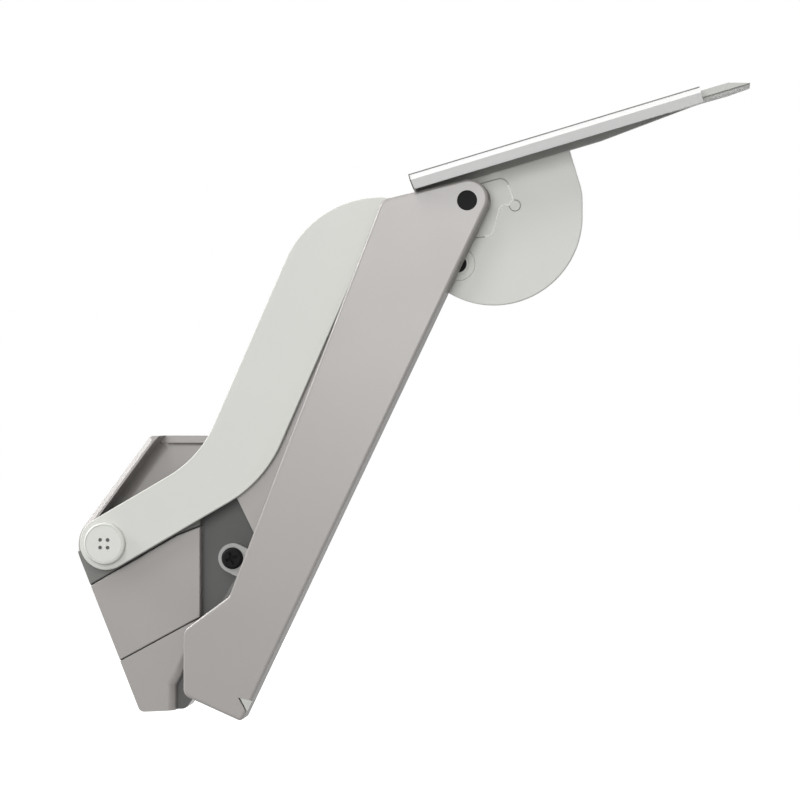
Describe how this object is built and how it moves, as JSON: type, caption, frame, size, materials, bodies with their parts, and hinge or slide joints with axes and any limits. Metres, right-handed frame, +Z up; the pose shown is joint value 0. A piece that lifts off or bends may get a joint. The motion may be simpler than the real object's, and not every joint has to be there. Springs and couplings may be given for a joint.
{
  "type": "lift-up flap fitting",
  "caption": "Cabinet lift-up flap fitting: sprung housing, covered main arm, bent flat control arm and a flap bar on a rounded bracket that tilts as the arms swing.",
  "frame": {"origin": "on the housing's back face, which lies on the cabinet side panel, between the control pivot and the main pivot", "axes": "+X to the cabinet front, +Z up, +Y into the cabinet side panel"},
  "size_m": [0.314, 0.054, 0.2876],
  "materials": {
    "taupe_plastic": "fine moulded grain, satin",
    "dark_steel": "dark matt coating",
    "grey_paint": "light grey satin paint",
    "bracket_steel": "grey zinc, matt",
    "strip_steel": "dark grey satin",
    "lug_steel": "grey zinc, satin",
    "clip_plastic": "light grey satin",
    "pale_plastic": "light grey satin",
    "rivet_steel": "light grey satin paint",
    "bright_steel": "turned",
    "spring_steel": "drawn wire",
    "lever_steel": "zinc grey",
    "black_plastic": "matt",
    "black_steel": "black oxide",
    "bush_plastic": "plain",
    "bar_metal": "pale grey satin paint"
  },
  "bodies": {
    "housing": {"housing_tray": "taupe_plastic", "mechanism_plate": "dark_steel", "pivot_cover": "strip_steel", "centre_cover": "taupe_plastic", "lower_cover": "taupe_plastic", "control_rivet": "rivet_steel", "main_axle": "bright_steel", "spring_seat": "lever_steel", "guide_rod_upper": "bright_steel", "guide_rod_lower": "bright_steel", "lift_spring_upper": "spring_steel", "lift_spring_lower": "spring_steel"},
    "carriage": {"spring_carriage": "lever_steel", "roller_pin": "bright_steel"},
    "roller": {"cam_roller": "bright_steel"},
    "main_arm": {"lift_cam": "lever_steel", "rear_lever": "lever_steel", "rear_arm_cover": "taupe_plastic", "arm_cover": "taupe_plastic", "cover_clip": "clip_plastic", "front_lever": "lever_steel", "flap_axle": "bright_steel", "axle_cap": "black_plastic", "lug_strap": "lug_steel", "lug_standoff": "bright_steel", "lug_screw": "black_steel"},
    "control_arm": {"control_arm": "grey_paint", "control_bush": "bush_plastic", "link_pin": "bright_steel"},
    "flap_bracket": {"bracket_plate": "bracket_steel", "axle_insert": "pale_plastic", "sector_cover": "pale_plastic", "adjuster_bush": "pale_plastic", "sector_stud": "pale_plastic", "flap_bar": "bar_metal", "bar_tongue": "clip_plastic"},
    "adjuster": {"adjuster_screw": "black_plastic"}
  },
  "joints": [
    {"name": "main_arm_lift", "type": "hinge", "parent": "housing", "child": "main_arm", "pos_m": [0.026, -0.02, -0.029], "axis": [0, 1, 0], "range_deg": [0, 36], "stiffness_Nm_per_rad": 1.5, "springref_deg": -68.75},
    {"name": "control_arm_swing", "type": "hinge", "parent": "housing", "child": "control_arm", "pos_m": [-0.031, -0.024, 0.014], "axis": [0, 1, 0], "range_deg": [0, 25.71]},
    {"name": "flap_bracket_turn", "type": "hinge", "parent": "main_arm", "child": "flap_bracket", "pos_m": [0.1415, -0.028, 0.171], "axis": [0, 1, 0], "range_deg": [0, 70.01]},
    {"name": "carriage_slide", "type": "slide", "parent": "housing", "child": "carriage", "axis": [-0.866, 0, 0.5], "range_m": [0, 0.00541], "deforming": ["lift_spring_upper", "lift_spring_lower"]},
    {"name": "cam_roller_spin", "type": "hinge", "parent": "carriage", "child": "roller", "pos_m": [0.01388, -0.0065, -0.022], "axis": [0, 1, 0], "continuous": true},
    {"name": "adjuster_turn", "type": "hinge", "parent": "flap_bracket", "child": "adjuster", "pos_m": [0.136, -0.0284, 0.1433], "axis": [0, 1, 0], "range_deg": [-90, 90]}
  ],
  "couplings": [
    {"joint": "control_arm_swing", "follows": "main_arm_lift", "ratio": 0.71389},
    {"joint": "flap_bracket_turn", "follows": "main_arm_lift", "ratio": 1.9444},
    {"joint": "carriage_slide", "follows": "main_arm_lift", "m_per_rad": 0.0085944}
  ]
}
